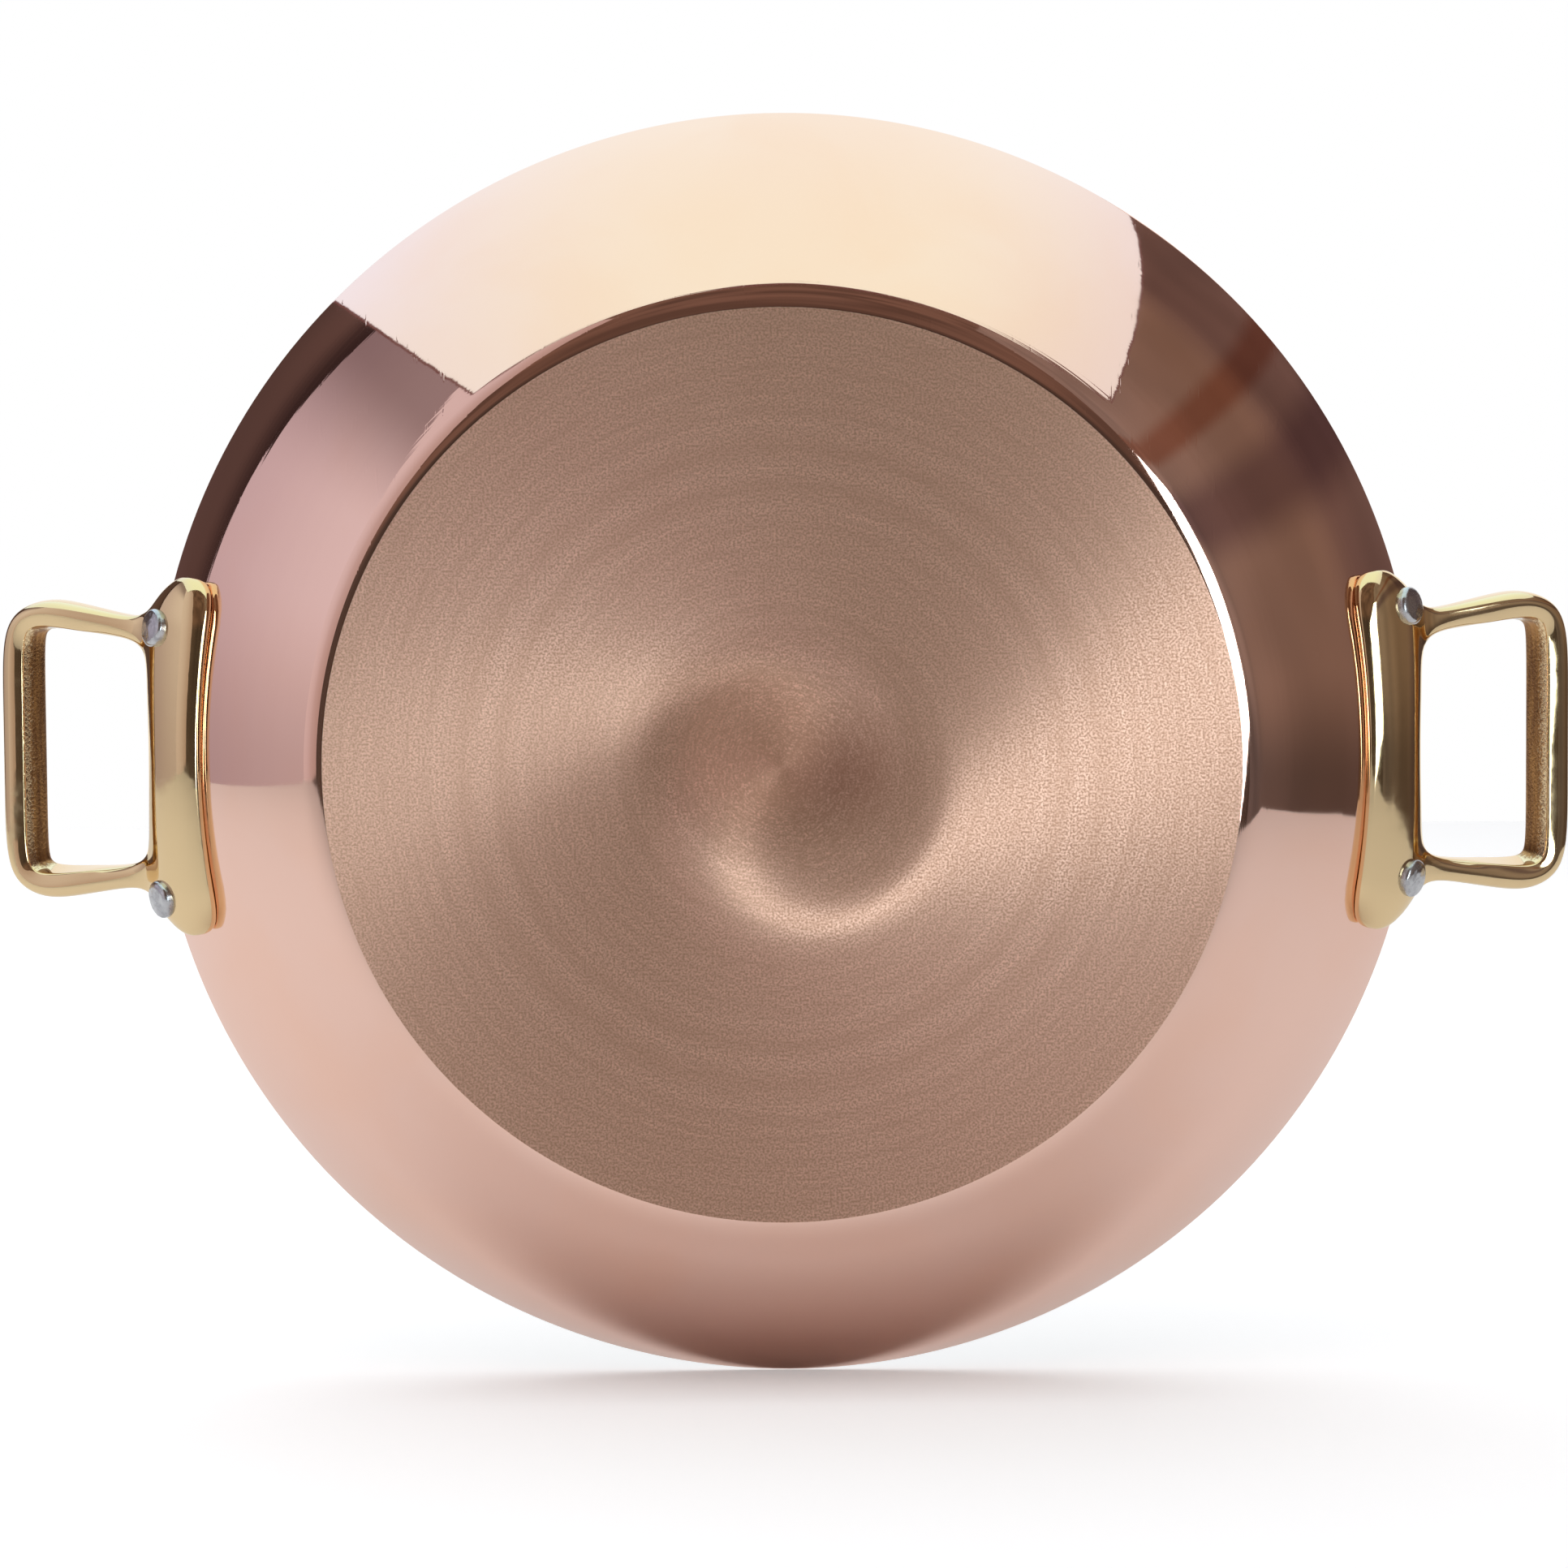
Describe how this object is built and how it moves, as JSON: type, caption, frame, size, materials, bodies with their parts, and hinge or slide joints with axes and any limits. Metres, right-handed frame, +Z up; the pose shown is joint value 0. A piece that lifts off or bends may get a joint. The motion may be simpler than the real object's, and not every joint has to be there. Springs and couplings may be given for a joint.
{
  "type": "two-handled copper pan",
  "caption": "Shallow round copper pan with flared walls and a flat brushed base, with riveted brass loop handles on opposite sides.",
  "frame": {"origin": "on the surface that the pan stands on, under the pan's centre", "axes": "+Z up through the pan's mouth, +X towards the right handle, +Y towards the rear rivets of both handles"},
  "size_m": [0.2962, 0.2398, 0.0461],
  "materials": {
    "copper": "copper, mirror polished on the flared wall and brushed in fine circles on the flat base",
    "lining_steel": "stainless cooking surface with a satin circular grain",
    "polished_brass": "cast brass, polished to a mirror with soft casting waves",
    "rivet_alloy": "satin pale grey metal, slightly hammered"
  },
  "bodies": {
    "root": {"copper_shell": "copper", "steel_lining": "lining_steel", "left_handle": "polished_brass", "right_handle": "polished_brass", "left_front_rivet": "rivet_alloy", "left_rear_rivet": "rivet_alloy", "right_front_rivet": "rivet_alloy", "right_rear_rivet": "rivet_alloy"}
  },
  "joints": []
}
